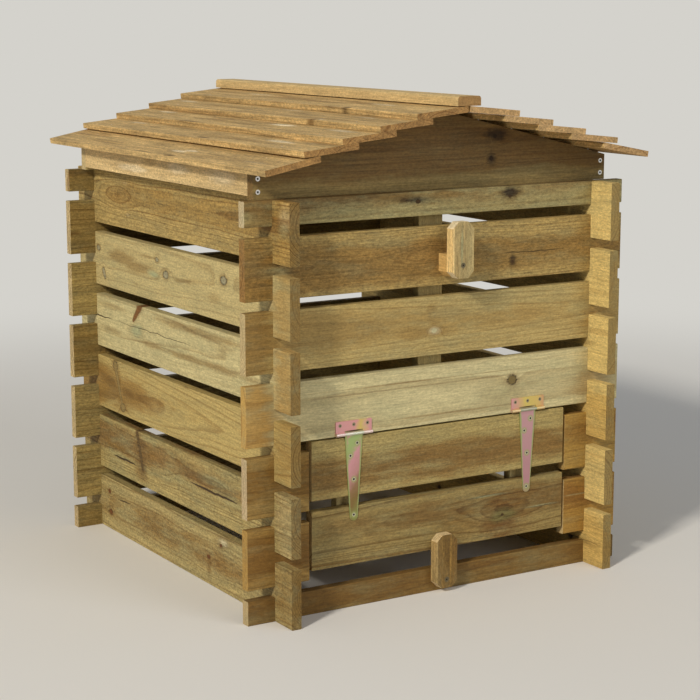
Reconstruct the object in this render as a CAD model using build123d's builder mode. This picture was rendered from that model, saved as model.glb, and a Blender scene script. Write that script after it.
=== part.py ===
from build123d import *
import os
from math import asin, atan2, cos, degrees, sin, tan

# Sizes in millimetres. X is right, Y goes to the back, Z is up.
# The origin is on the ground at the middle of the bin.

# Wall timber
board_height = 100.0
board_thickness = 18.0
board_gap = 18.0
edge_radius = 1.5
joint_clearance = 0.25

# Bin body
side_board_count = 6
bin_width = 656.0
bin_depth = 704.0
front_overhang = 50.0
side_overhang = 55.0

# Hatch in the front wall
rows_below_opening = 1
hatch_rows = 2
opening_width = 526.0
hatch_side_gap = 5.0
hatch_top_gap = 3.0
batten_width = 44.0
batten_thickness = 18.0
batten_foot_gap = 10.0
hatch_stop_height = 30.0

# Batten that ties the front boards from inside
tie_x = -15.5
tie_width = 48.0
tie_end_gap = 5.0

# Tee hinges
hinge_x = 178.0
sheet_thickness = 1.5
pin_radius = 1.5
pin_clearance = 0.05
knuckle_gap = 0.4
leaf_slot_gap = 2.5
leaf_width = 69.5
leaf_height = 22.0
leaf_hole_height = 15.0
leaf_hole_spacing = 26.5
leaf_corner = 1.5
strap_length = 148.5
strap_root_width = 34.5
strap_tip_width = 14.5
strap_hole_stagger = 6.5
strap_hole_drops = (17.0, 37.5, 78.0, 138.5)
strap_hole_sides = (1, -1, 0, 0)

# Turn buttons
button_width = 42.0
button_chamfer = 11.0
button_clearance = 0.3
ground_clearance = 2.0
latch_x = -1.0
latch_pivot_inset = 15.0
latch_overlap = 28.0
catch_x = 9.0
catch_pivot_inset = 22.0
catch_overlap = 26.0
hold_clearance = 0.6
spacer_width = 40.0
spacer_height = 38.0
spacer_chamfer = 9.0
spacer_below_pivot = 21.0

# Lid
gable_overhang = 24.0
gable_end_height = 44.0
gable_apex_height = 131.0
gable_clearance = 0.5
rail_thickness = 18.0
rail_lift = 5.0
rail_proud = 4.0
roof_boards_per_side = 5
roof_board_width = 100.0
roof_board_thickness = 10.0
roof_edge_radius = 1.0
roof_end_overhang = 68.5
eave_seat = 73.5
ridge_gap = 2.0
seat_clearance = 0.2
ridge_cap_width = 45.0
ridge_cap_height = 16.0
ridge_cap_radius = 5.0

# Fixings
screw_clearance = 0.05
hinge_screw_head_radius = 3.2
hinge_screw_radius = 1.75
leaf_screw_length = 16.0
strap_screw_bite = 12.0
tie_screw_bite = 14.0
pivot_screw_head_radius = 4.5
pivot_screw_radius = 2.25
pivot_screw_bite = 15.0
pivot_running_clearance = 0.1
lid_screw_head_radius = 4.0
lid_screw_radius = 2.0
lid_screw_length = 50.0
lid_screw_low = 12.0
lid_screw_spacing = 21.0
recess_length = 3.2
recess_width = 1.0
recess_depth = 1.2
screw_point = 3.0
brad_radius = 1.0
brad_length = 36.0
brad_edge = 15.0
brad_clearance = 0.1
brad_proud = 0.3
eave_brad_inset = 30.0
cap_brad_x = 11.0

# Worked-out places
pitch = board_height + board_gap
half_board_height = board_height - pitch / 2
notch_depth = (board_height - pitch / 2) / 2
wall_top = (side_board_count - 1) * pitch + board_height
front_y = -bin_depth / 2
inner_front_y = front_y + board_thickness
side_x = bin_width / 2
front_end_x = side_x + front_overhang
side_end_y = bin_depth / 2 + side_overhang
side_crossing_x = side_x - board_thickness / 2
front_crossing_y = bin_depth / 2 - board_thickness / 2
opening_half = opening_width / 2
front_row_count = side_board_count + 1

lintel_row = front_row_count - rows_below_opening - hatch_rows
lintel_low = pitch / 2 + (hatch_rows + rows_below_opening - 1) * pitch
hatch_top = lintel_low - hatch_top_gap
hatch_height = hatch_rows * board_height + (hatch_rows - 1) * board_gap
hatch_low = hatch_top - hatch_height
hatch_half = opening_half - hatch_side_gap

knuckle_radius = pin_radius + pin_clearance + sheet_thickness
axis_y = front_y - knuckle_radius
axis_z = lintel_low + knuckle_radius
strap_screw_length = sheet_thickness + board_thickness + strap_screw_bite
tie_screw_length = batten_thickness + tie_screw_bite

latch_pivot_z = button_width / 2 + ground_clearance
latch_low = latch_pivot_z - latch_pivot_inset
button_length = hatch_low + latch_overlap - latch_low
latch_back_y = front_y - button_clearance
spacer_thickness = board_thickness + 2 * knuckle_radius + hold_clearance
raised_edge_z = 2 * axis_z - hatch_low
catch_pivot_z = raised_edge_z - catch_overlap + button_length - catch_pivot_inset
catch_low = catch_pivot_z - catch_pivot_inset
catch_back_y = front_y - spacer_thickness - button_clearance
latch_screw_length = board_thickness + button_clearance + pivot_screw_bite
catch_screw_length = latch_screw_length + spacer_thickness

gable_half = side_x + gable_overhang
gable_outer_y = bin_depth / 2 - board_thickness - gable_clearance
gable_inner_y = gable_outer_y - board_thickness
rail_low = wall_top + rail_lift
rail_top = wall_top + gable_end_height + rail_proud
rail_x = gable_half - rail_thickness / 2
roof_length = bin_depth + 2 * roof_end_overhang
gable_slope = atan2(gable_apex_height - gable_end_height, gable_half)
roof_step_x = (gable_half - eave_seat - ridge_gap / 2) / (roof_boards_per_side - 1)
roof_step = roof_step_x / cos(gable_slope)
lap_tilt = gable_slope - asin((roof_board_thickness + seat_clearance) / roof_step)


def seat_on_front(x, y, z):
    return Plane((x, y, z), x_dir=(1, 0, 0), z_dir=(0, -1, 0))


def seat_on_back(x, y, z):
    return Plane((x, y, z), x_dir=(-1, 0, 0), z_dir=(0, 1, 0))


def save(part, name):
    part.label = name
    export_step(part, f"parts/{name}.step")


os.makedirs("parts", exist_ok=True)

# Screw seats: each plane lies on the face that the screw head sits flush with.
hinge_places = {"left": -hinge_x, "right": hinge_x}
metal_face_y = front_y - sheet_thickness
leaf_seats = []
strap_seats = []
for x in hinge_places.values():
    for side in (-1, 0, 1):
        hole_x = x + side * leaf_hole_spacing
        leaf_seats.append(seat_on_front(hole_x, metal_face_y, axis_z + leaf_hole_height))
    for drop, side in zip(strap_hole_drops, strap_hole_sides):
        hole_x = x + side * strap_hole_stagger
        strap_seats.append(seat_on_front(hole_x, metal_face_y, axis_z - drop))

latch_seat = seat_on_front(latch_x, latch_back_y - board_thickness, latch_pivot_z)
catch_seat = seat_on_front(catch_x, catch_back_y - board_thickness, catch_pivot_z)

tie_back_y = inner_front_y + batten_thickness
tie_low = lintel_low + tie_end_gap
tie_high = wall_top - tie_end_gap
tie_screw_heights = [lintel_low + board_height / 2 + row * pitch for row in range(lintel_row - 1)]
tie_screw_heights.append(wall_top - half_board_height / 2)
tie_seats = [seat_on_back(tie_x, tie_back_y, z) for z in tie_screw_heights]


# Side walls: boards run front to back and are notched where the front and back boards cross.
def side_board(x, z_low):
    z_mid = z_low + board_height / 2
    with BuildPart() as board:
        with BuildSketch(Plane.XZ.offset(side_end_y)):
            with Locations((x, z_mid)):
                RectangleRounded(board_thickness, board_height, edge_radius)
        extrude(amount=-2 * side_end_y)
        notches = [
            (x, y * front_crossing_y, z_mid + up * (board_height - notch_depth) / 2)
            for y in (-1, 1)
            for up in (-1, 1)
        ]
        with Locations(*notches):
            notch_width = board_thickness + 2 * joint_clearance
            Box(board_thickness, notch_width, notch_depth, mode=Mode.SUBTRACT)
    return board.part


for side, x in {"left": -side_crossing_x, "right": side_crossing_x}.items():
    for row in range(side_board_count):
        save(side_board(x, row * pitch), f"{side}_board_{side_board_count - row}")


# Front and back walls: the same boards half a pitch lower, with half-height boards at both ends.
def cross_board(x_start, x_end, y_mid, row, holes=()):
    is_bottom = row == 0
    is_top = row == front_row_count - 1
    height = half_board_height if is_bottom or is_top else board_height
    z_low = 0 if is_bottom else (row - 0.5) * pitch
    notch_centres = []
    if not is_bottom:
        notch_centres.append(z_low + notch_depth / 2)
    if not is_top:
        notch_centres.append(z_low + height - notch_depth / 2)
    with BuildPart() as board:
        profile = Plane((x_start, y_mid, z_low + height / 2), x_dir=(0, 1, 0), z_dir=(1, 0, 0))
        with BuildSketch(profile):
            RectangleRounded(board_thickness, height, edge_radius)
        extrude(amount=x_end - x_start)
        crossings = [x for x in (-side_crossing_x, side_crossing_x) if x_start < x < x_end]
        with Locations(*[(x, y_mid, z) for x in crossings for z in notch_centres]):
            notch_width = board_thickness + 2 * joint_clearance
            Box(notch_width, board_thickness, notch_depth, mode=Mode.SUBTRACT)
        for seat, radius, depth in holes:
            with Locations(seat):
                Hole(radius, depth)
    return board.part


def front_holes(row):
    z_low = 0 if row == 0 else (row - 0.5) * pitch
    z_high = z_low + (half_board_height if row in (0, front_row_count - 1) else board_height)
    pilots = [(seat, hinge_screw_radius, leaf_screw_length) for seat in leaf_seats]
    pilots += [(seat, hinge_screw_radius, tie_screw_length) for seat in tie_seats]
    pilots.append((latch_seat, pivot_screw_radius, latch_screw_length))
    pilots.append((catch_seat, pivot_screw_radius, catch_screw_length))
    return [
        (seat, radius + screw_clearance, length + screw_clearance)
        for seat, radius, length in pilots
        if z_low < seat.origin.Z < z_high
    ]


for row in range(front_row_count):
    number = front_row_count - row
    front_mid_y = -front_crossing_y
    if rows_below_opening <= row < rows_below_opening + hatch_rows:
        left_stub = cross_board(-front_end_x, -opening_half, front_mid_y, row)
        save(left_stub, f"front_board_{number}_left")
        right_stub = cross_board(opening_half, front_end_x, front_mid_y, row)
        save(right_stub, f"front_board_{number}_right")
    else:
        whole = cross_board(-front_end_x, front_end_x, front_mid_y, row, front_holes(row))
        save(whole, f"front_board_{number}")
    back = cross_board(-front_end_x, front_end_x, front_crossing_y, row)
    save(back, f"back_board_{number}")


# Upright battens: the tie inside the front wall and the two behind the hatch.
def upright_batten(x, width, z_low, z_high, pilots=(), countersinks=()):
    with BuildPart() as batten:
        with BuildSketch(Plane.XY.offset(z_low)):
            with Locations((x, inner_front_y + batten_thickness / 2)):
                RectangleRounded(width, batten_thickness, edge_radius)
        extrude(amount=z_high - z_low)
        for seat in pilots:
            with Locations(seat):
                Hole(hinge_screw_radius + screw_clearance, strap_screw_length + screw_clearance)
        for seat in countersinks:
            with Locations(seat):
                CounterSinkHole(
                    hinge_screw_radius + screw_clearance,
                    hinge_screw_head_radius + screw_clearance,
                    tie_screw_length,
                    90,
                )
    return batten.part


tie = upright_batten(tie_x, tie_width, tie_low, tie_high, countersinks=tie_seats)
save(tie, "front_tie_batten")
# The hatch battens rise behind the lintel board, which stops the hatch from swinging inward.
batten_low = hatch_low + batten_foot_gap
batten_high = lintel_low + hatch_stop_height
for side, x in hinge_places.items():
    own_seats = [seat for seat in strap_seats if seat.origin.X * x > 0]
    batten = upright_batten(x, batten_width, batten_low, batten_high, pilots=own_seats)
    save(batten, f"hatch_batten_{side}")


# Hatch boards, flush with the front wall.
def hatch_board(z_low):
    with BuildPart() as board:
        profile = Plane(
            (-hatch_half, front_y + board_thickness / 2, z_low + board_height / 2),
            x_dir=(0, 1, 0),
            z_dir=(1, 0, 0),
        )
        with BuildSketch(profile):
            RectangleRounded(board_thickness, board_height, edge_radius)
        extrude(amount=2 * hatch_half)
        for seat in strap_seats:
            if z_low < seat.origin.Z < z_low + board_height:
                with Locations(seat):
                    Hole(hinge_screw_radius + screw_clearance, strap_screw_length)
    return board.part


for row in range(hatch_rows):
    save(hatch_board(hatch_low + row * pitch), f"hatch_board_{hatch_rows - row}")


# Tee hinges: a crossbar leaf on the lintel board, a tapered strap on the hatch and a pin.
def knuckle_plane(x):
    return Plane((x, axis_y, axis_z), x_dir=(0, 1, 0), z_dir=(1, 0, 0))


def hinge_leaf(x):
    gap_half = strap_root_width / 2 + knuckle_gap
    with BuildPart() as leaf:
        with BuildSketch(seat_on_front(x, front_y, axis_z)):
            with Locations((0, leaf_height / 2)):
                Rectangle(leaf_width, leaf_height)
        extrude(amount=sheet_thickness)
        top_corners = leaf.edges().filter_by(Axis.Y).group_by(Axis.Z)[-1]
        fillet(top_corners, leaf_corner)
        for start in (x - leaf_width / 2, x + gap_half):
            with BuildSketch(knuckle_plane(start)):
                Circle(knuckle_radius)
            extrude(amount=leaf_width / 2 - gap_half)
        slot_high = knuckle_radius + leaf_slot_gap
        with Locations((x, axis_y, axis_z)):
            Box(2 * gap_half, 4 * knuckle_radius, 2 * slot_high, mode=Mode.SUBTRACT)
        with BuildSketch(knuckle_plane(x - leaf_width / 2)):
            Circle(pin_radius + pin_clearance)
        extrude(amount=leaf_width, mode=Mode.SUBTRACT)
        with Locations(*leaf_seats):
            CounterSinkHole(
                hinge_screw_radius + screw_clearance,
                hinge_screw_head_radius + screw_clearance,
                sheet_thickness,
                90,
            )
    return leaf.part


def hinge_strap(x):
    root_half = strap_root_width / 2
    tip_half = strap_tip_width / 2
    shoulder = tip_half - strap_length
    with BuildPart() as strap:
        with BuildSketch(seat_on_front(x, front_y, axis_z)):
            with BuildLine():
                Polyline((-tip_half, shoulder), (-root_half, 0), (root_half, 0), (tip_half, shoulder))
                ThreePointArc((tip_half, shoulder), (0, -strap_length), (-tip_half, shoulder))
            make_face()
        extrude(amount=sheet_thickness)
        with BuildSketch(knuckle_plane(x - root_half)):
            Circle(knuckle_radius)
        extrude(amount=strap_root_width)
        with BuildSketch(knuckle_plane(x - root_half)):
            Circle(pin_radius + pin_clearance)
        extrude(amount=strap_root_width, mode=Mode.SUBTRACT)
        with Locations(*strap_seats):
            CounterSinkHole(
                hinge_screw_radius + screw_clearance,
                hinge_screw_head_radius + screw_clearance,
                sheet_thickness,
                90,
            )
    return strap.part


for side, x in hinge_places.items():
    save(hinge_leaf(x), f"hinge_leaf_{side}")
    save(hinge_strap(x), f"hinge_strap_{side}")

with BuildPart() as hinge_pins:
    for x in hinge_places.values():
        with BuildSketch(knuckle_plane(x - leaf_width / 2)):
            Circle(pin_radius)
        extrude(amount=leaf_width)
save(hinge_pins.part, "hinge_pins")


# Turn buttons: a stick with its corners cut off, loose on one screw.
def turn_button(seat, z_low):
    with BuildPart() as button:
        with BuildSketch(seat):
            with Locations((0, z_low + button_length / 2 - seat.origin.Z)):
                Rectangle(button_width, button_length)
            chamfer(vertices(), button_chamfer)
        extrude(amount=-board_thickness)
        with Locations(seat):
            CounterSinkHole(
                pivot_screw_radius + pivot_running_clearance,
                pivot_screw_head_radius + pivot_running_clearance,
                board_thickness,
                90,
            )
    return button.part


save(turn_button(latch_seat, latch_low), "latch_button")
save(turn_button(catch_seat, catch_low), "catch_button")

with BuildPart() as catch_spacer:
    with BuildSketch(seat_on_front(catch_x, front_y, catch_pivot_z - spacer_below_pivot)):
        with Locations((0, spacer_height / 2)):
            Rectangle(spacer_width, spacer_height)
        chamfer(vertices().group_by(Axis.Y)[0], spacer_chamfer)
    extrude(amount=spacer_thickness)
    with Locations(catch_seat):
        Hole(pivot_screw_radius + screw_clearance, catch_screw_length)
save(catch_spacer.part, "catch_spacer")


# Countersunk cross-recess screws, one solid each.
def screw_group(screws, head_radius, shank_radius, brads=()):
    with BuildPart() as group:
        for seat, length in screws:
            profile = Plane(seat.origin, x_dir=seat.x_dir, z_dir=seat.x_dir.cross(seat.z_dir))
            with BuildSketch(profile):
                with BuildLine():
                    Polyline(
                        (0, 0),
                        (head_radius, 0),
                        (shank_radius, shank_radius - head_radius),
                        (shank_radius, screw_point - length),
                        (0, -length),
                        close=True,
                    )
                make_face()
            revolve(axis=Axis(seat.origin, seat.z_dir))
            with BuildSketch(seat):
                Rectangle(recess_length, recess_width)
                Rectangle(recess_width, recess_length)
            extrude(amount=-recess_depth, mode=Mode.SUBTRACT)
        for place in brads:
            with Locations(place):
                Cylinder(brad_radius, brad_length, align=(Align.CENTER, Align.CENTER, Align.MAX))
    return group.part


leaf_screws = [(seat, leaf_screw_length) for seat in leaf_seats]
tie_screws = [(seat, tie_screw_length) for seat in tie_seats]
front_screws = screw_group(leaf_screws + tie_screws, hinge_screw_head_radius, hinge_screw_radius)
save(front_screws, "front_wall_screws")
hatch_screws = [(seat, strap_screw_length) for seat in strap_seats]
strap_screws = screw_group(hatch_screws, hinge_screw_head_radius, hinge_screw_radius)
save(strap_screws, "strap_screws")
pivots = [(latch_seat, latch_screw_length), (catch_seat, catch_screw_length)]
save(screw_group(pivots, pivot_screw_head_radius, pivot_screw_radius), "pivot_screws")


# Lid: where each roof board lies, counted from the eave, in the half on the +X side.
def roof_pose(number):
    x = ridge_gap / 2 + roof_step_x * (roof_boards_per_side - number)
    z = wall_top + gable_apex_height - x * tan(gable_slope) + seat_clearance / cos(gable_slope)
    if number == 1:
        tilt = atan2(z - rail_top - seat_clearance, gable_half - x)
    else:
        tilt = lap_tilt
    return x, z, tilt


def roof_top_z(number, x):
    inner_x, inner_z, tilt = roof_pose(number)
    return inner_z + roof_board_thickness / cos(tilt) - (x - inner_x) * tan(tilt)


def brad_places(side):
    cap_brads = [(cap_brad_x, ridge_cap_top)]
    eave_x = gable_half - eave_brad_inset
    board_brads = [(eave_x, roof_top_z(1, eave_x))]
    for number in range(2, roof_boards_per_side + 1):
        inner_x, _, tilt = roof_pose(number)
        x = inner_x + (roof_board_width - brad_edge) * cos(tilt)
        board_brads.append((x, roof_top_z(number, x)))
    gable_mid_y = (gable_outer_y + gable_inner_y) / 2
    return [
        (side * x, y, z + brad_proud)
        for x, z in cap_brads + board_brads
        for y in (-gable_mid_y, gable_mid_y)
    ]


top_x, top_z, top_tilt = roof_pose(roof_boards_per_side)
ridge_seat_z = top_z + roof_board_thickness * cos(top_tilt) + seat_clearance
ridge_cap_top = ridge_seat_z + ridge_cap_height
left_brads = brad_places(-1)
right_brads = brad_places(1)
all_brads = left_brads + right_brads
brad_hole_radius = brad_radius + brad_clearance
brad_hole_length = brad_length + brad_clearance
hole_align = (Align.CENTER, Align.CENTER, Align.MAX)

gable_screws = []
for end in (-1, 1):
    seat_on_gable = seat_on_front if end < 0 else seat_on_back
    for x in (-rail_x, rail_x):
        for rise in (lid_screw_low, lid_screw_low + lid_screw_spacing):
            gable_screws.append(seat_on_gable(x, end * gable_outer_y, wall_top + rise))


def gable(end):
    with BuildPart() as board:
        with BuildSketch(seat_on_front(0, end * gable_outer_y, wall_top)):
            with BuildLine():
                Polyline(
                    (-gable_half, 0),
                    (gable_half, 0),
                    (gable_half, gable_end_height),
                    (0, gable_apex_height),
                    (-gable_half, gable_end_height),
                    close=True,
                )
            make_face()
        extrude(amount=end * board_thickness)
        for seat in gable_screws:
            if seat.origin.Y * end > 0:
                with Locations(seat):
                    CounterSinkHole(
                        lid_screw_radius + screw_clearance,
                        lid_screw_head_radius + screw_clearance,
                        lid_screw_length,
                        90,
                    )
        with Locations(*[place for place in all_brads if place[1] * end > 0]):
            Cylinder(brad_hole_radius, brad_hole_length, align=hole_align, mode=Mode.SUBTRACT)
    return board.part


save(gable(-1), "gable_front")
save(gable(1), "gable_back")

for side, x in {"left": -rail_x, "right": rail_x}.items():
    with BuildPart() as rail:
        with BuildSketch(Plane.XZ.offset(gable_inner_y)):
            with Locations((x, (rail_low + rail_top) / 2)):
                Rectangle(rail_thickness, rail_top - rail_low)
        extrude(amount=-2 * gable_inner_y)
        for seat in gable_screws:
            if seat.origin.X * x > 0:
                with Locations(seat):
                    Hole(lid_screw_radius + screw_clearance, lid_screw_length + screw_clearance)
    save(rail.part, f"lid_rail_{side}")


def roof_board(side, number, brads):
    inner_x, inner_z, tilt = roof_pose(number)
    mid_x = inner_x + roof_board_width / 2 * cos(tilt) + roof_board_thickness / 2 * sin(tilt)
    mid_z = inner_z - roof_board_width / 2 * sin(tilt) + roof_board_thickness / 2 * cos(tilt)
    with BuildPart() as board:
        with BuildSketch(Plane.XZ.offset(roof_length / 2)):
            with Locations((side * mid_x, mid_z)):
                RectangleRounded(
                    roof_board_width,
                    roof_board_thickness,
                    roof_edge_radius,
                    rotation=-side * degrees(tilt),
                )
        extrude(amount=-roof_length)
        with Locations(*brads):
            Cylinder(brad_hole_radius, brad_hole_length, align=hole_align, mode=Mode.SUBTRACT)
    return board.part


for number in range(1, roof_boards_per_side + 1):
    save(roof_board(-1, number, left_brads), f"roof_board_left_{number}")
    save(roof_board(1, number, right_brads), f"roof_board_right_{number}")

with BuildPart() as ridge_cap:
    with BuildSketch(Plane.XZ.offset(roof_length / 2)):
        with Locations((0, ridge_seat_z + ridge_cap_height / 2)):
            Rectangle(ridge_cap_width, ridge_cap_height)
        fillet(vertices().group_by(Axis.Y)[-1], ridge_cap_radius)
    extrude(amount=-roof_length)
    with Locations(*[place for place in all_brads if abs(place[0]) < ridge_cap_width / 2]):
        Cylinder(brad_hole_radius, brad_hole_length, align=hole_align, mode=Mode.SUBTRACT)
save(ridge_cap.part, "ridge_cap")

gable_fixings = [(seat, lid_screw_length) for seat in gable_screws]
lid_fixings = screw_group(gable_fixings, lid_screw_head_radius, lid_screw_radius, all_brads)
save(lid_fixings, "lid_fixings")
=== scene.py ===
import math
import random

import bpy
from mathutils import Vector, Matrix


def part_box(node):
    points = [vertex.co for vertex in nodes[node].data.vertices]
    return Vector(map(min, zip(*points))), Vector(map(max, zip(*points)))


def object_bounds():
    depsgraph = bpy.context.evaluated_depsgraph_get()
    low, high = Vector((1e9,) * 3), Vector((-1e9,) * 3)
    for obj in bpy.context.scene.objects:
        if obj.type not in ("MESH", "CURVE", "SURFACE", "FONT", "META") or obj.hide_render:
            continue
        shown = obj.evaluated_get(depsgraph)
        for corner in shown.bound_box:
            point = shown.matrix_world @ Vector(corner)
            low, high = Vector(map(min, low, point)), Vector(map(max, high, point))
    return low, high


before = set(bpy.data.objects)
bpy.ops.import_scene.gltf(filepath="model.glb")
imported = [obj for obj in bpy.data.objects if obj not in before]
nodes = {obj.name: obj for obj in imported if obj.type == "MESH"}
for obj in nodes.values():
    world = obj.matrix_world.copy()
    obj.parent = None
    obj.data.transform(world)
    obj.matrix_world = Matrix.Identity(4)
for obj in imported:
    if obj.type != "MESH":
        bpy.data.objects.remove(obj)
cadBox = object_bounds()
mm = 0.001
up = Vector((0, 0, 1))
noiseLow, noiseHigh = 0.3, 0.7   # most of a noise lies between these
smooth = dict(interpolation_type="SMOOTHSTEP")   # for a range that eases in and out
print("frame loaded:", len(nodes), "nodes")


def hexColor(text):
    # sRGB hex to the linear values that a shader takes
    parts = [int(text[i:i + 2], 16) / 255 for i in (1, 3, 5)]
    return [c / 12.92 if c <= 0.04045 else ((c + 0.055) / 1.055) ** 2.4 for c in parts] + [1]


def addNode(tree, kind, inputs=None, **settings):
    node = tree.nodes.new("ShaderNode" + kind)
    for name, value in settings.items():
        setattr(node, name, value)
    for socket, value in (inputs or {}).items():
        if isinstance(value, bpy.types.NodeSocket):
            tree.links.new(value, node.inputs[socket])
        else:
            node.inputs[socket].default_value = value
    return node.outputs


def newGroup(name, inputs, outputs):
    # inputs and outputs are lists of (socket name, kind)
    tree = bpy.data.node_groups.new(name, "ShaderNodeTree")
    for label, kind in inputs:
        tree.interface.new_socket(label, in_out="INPUT", socket_type="NodeSocket" + kind)
    for label, kind in outputs:
        tree.interface.new_socket(label, in_out="OUTPUT", socket_type="NodeSocket" + kind)
    return tree, tree.nodes.new("NodeGroupInput").outputs, tree.nodes.new("NodeGroupOutput").inputs


def newMaterial(name):
    mat = bpy.data.materials.new(name)
    mat.use_nodes = True
    return mat, mat.node_tree, mat.node_tree.nodes["Principled BSDF"]


def grainNoise(tree, point, seed, size, detail, roughness=0.5):
    # a noise drawn out along the grain, where size is its length and width in mm
    length, width = size
    point = addNode(tree, "VectorMath", {0: point, 1: (1 / length, 1 / width, 1 / width), 2: seed},
                    operation="MULTIPLY_ADD")[0]
    return addNode(tree, "TexNoise", {"Vector": point, "Scale": 1, "Detail": detail,
                                      "Roughness": roughness})[0]


# In these groups Point is in millimetres: X along the grain, Y across the board, Z out of its face.
# A branch grows straight out from the heart of the log, so a knot is a slim cone through the board,
# longer in the grain than across it. Near is 0 on its axis and 1 at its bark line.
thinnestKnot = 0.4   # mm


def makeKnotGroup():
    tree, given, result = newGroup(
        "branchKnot",
        [("Point", "Vector"), ("Root", "Vector"), ("Way", "Vector"), ("Slope", "Float"),
         ("Squeeze", "Vector")],
        [("Near", "Float")])
    offset = addNode(tree, "VectorMath", {0: given["Point"], 1: given["Root"]}, operation="SUBTRACT")[0]
    offset = addNode(tree, "VectorMath", {0: offset, 1: given["Squeeze"]}, operation="MULTIPLY")[0]
    reach = addNode(tree, "VectorMath", {0: offset, 1: given["Way"]}, operation="DOT_PRODUCT")["Value"]
    axis = addNode(tree, "VectorMath", {0: given["Way"], "Scale": reach}, operation="SCALE")[0]
    side = addNode(tree, "VectorMath", {0: offset, 1: axis}, operation="DISTANCE")["Value"]
    width = addNode(tree, "Math", {0: reach, 1: given["Slope"]}, operation="MULTIPLY")[0]
    width = addNode(tree, "Math", {0: width, 1: thinnestKnot}, operation="MAXIMUM")[0]
    near = addNode(tree, "Math", {0: side, 1: width}, operation="DIVIDE")[0]
    tree.links.new(near, result["Near"])
    return tree


# A spike knot is a branch sawn along its length: a tapering streak from one point of the face to another.
def makeSpikeGroup():
    tree, given, result = newGroup(
        "spikeKnot",
        [("Point", "Vector"), ("From", "Vector"), ("Run", "Vector"), ("Pull", "Vector"), ("Wide", "Float"),
         ("Slim", "Float")],
        [("Near", "Float")])
    flat = addNode(tree, "VectorMath", {0: given["Point"], 1: (1, 1, 0)}, operation="MULTIPLY")[0]
    offset = addNode(tree, "VectorMath", {0: flat, 1: given["From"]}, operation="SUBTRACT")[0]
    ratio = addNode(tree, "VectorMath", {0: offset, 1: given["Pull"]}, operation="DOT_PRODUCT")["Value"]
    ratio = addNode(tree, "Clamp", {0: ratio})[0]
    axis = addNode(tree, "VectorMath", {0: given["Run"], "Scale": ratio}, operation="SCALE")[0]
    side = addNode(tree, "VectorMath", {0: offset, 1: axis}, operation="DISTANCE")["Value"]
    width = addNode(tree, "MapRange", {0: ratio, 3: given["Wide"], 4: given["Slim"]})[0]
    near = addNode(tree, "Math", {0: side, 1: width}, operation="DIVIDE")[0]
    tree.links.new(near, result["Near"])
    return tree


# A check is a drying crack along the grain: widest in its middle, closed at both ends. Sizes in mm.
checkShape = dict(bendRun=55, bend=4.0, edgeFrom=-0.3, edgeTo=0.9)


def makeCheckGroup():
    tree, given, result = newGroup(
        "dryingCheck",
        [("Point", "Vector"), ("From", "Float"), ("To", "Float"), ("Across", "Float"), ("Width", "Float")],
        [("Open", "Float")])
    point = addNode(tree, "SeparateXYZ", {0: given["Point"]})
    ratio = addNode(tree, "MapRange", {0: point["X"], 1: given["From"], 2: given["To"]})[0]
    rest = addNode(tree, "Math", {0: 1.0, 1: ratio}, operation="SUBTRACT")[0]
    taper = addNode(tree, "Math", {0: ratio, 1: rest}, operation="MULTIPLY")[0]
    taper = addNode(tree, "Math", {0: taper, 1: 0.5}, operation="POWER")[0]   # a root, for blunter ends
    width = addNode(tree, "Math", {0: taper, 1: given["Width"]}, operation="MULTIPLY")[0]
    turn = addNode(tree, "Math", {0: point["X"], 1: 1 / checkShape["bendRun"]}, operation="MULTIPLY")[0]
    turn = addNode(tree, "Math", {0: turn, 1: given["Across"]}, operation="ADD")[0]
    bend = addNode(tree, "TexNoise", {"W": turn, "Scale": 1, "Detail": 2}, noise_dimensions="1D")[0]
    bend = addNode(tree, "MapRange", {0: bend, 3: -checkShape["bend"], 4: checkShape["bend"]})[0]
    place = addNode(tree, "Math", {0: given["Across"], 1: bend}, operation="ADD")[0]
    gap = addNode(tree, "Math", {0: point["Y"], 1: place}, operation="SUBTRACT")[0]
    gap = addNode(tree, "Math", {0: gap}, operation="ABSOLUTE")[0]
    gap = addNode(tree, "Math", {0: width, 1: gap}, operation="SUBTRACT")[0]
    gap = addNode(tree, "MapRange", {0: gap, 1: checkShape["edgeFrom"], 2: checkShape["edgeTo"]})[0]
    tree.links.new(gap, result["Open"])
    return tree


# A stain is an oval that frays along the grain. Fray is a noise that all stains of a board share.
stainEdge = dict(outer=1.25, inner=0.25, fray=0.45)   # 1 is the edge of the oval


def makeStainGroup():
    tree, given, result = newGroup(
        "frayedStain",
        [("Point", "Vector"), ("Fray", "Float"), ("At", "Vector"), ("Squeeze", "Vector"),
         ("Strength", "Float")],
        [("Amount", "Float")])
    offset = addNode(tree, "VectorMath", {0: given["Point"], 1: given["At"]}, operation="SUBTRACT")[0]
    offset = addNode(tree, "VectorMath", {0: offset, 1: given["Squeeze"]}, operation="MULTIPLY")[0]
    away = addNode(tree, "VectorMath", {0: offset}, operation="LENGTH")["Value"]
    fray = addNode(tree, "MapRange", {0: given["Fray"], 1: noiseLow, 2: noiseHigh, 3: -stainEdge["fray"],
                                      4: stainEdge["fray"]})[0]
    away = addNode(tree, "Math", {0: away, 1: fray}, operation="ADD")[0]
    amount = addNode(tree, "MapRange", {0: away, 1: stainEdge["outer"], 2: stainEdge["inner"]}, **smooth)[0]
    amount = addNode(tree, "Math", {0: amount, 1: given["Strength"]}, operation="MULTIPLY")[0]
    tree.links.new(amount, result["Amount"])
    return tree


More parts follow.
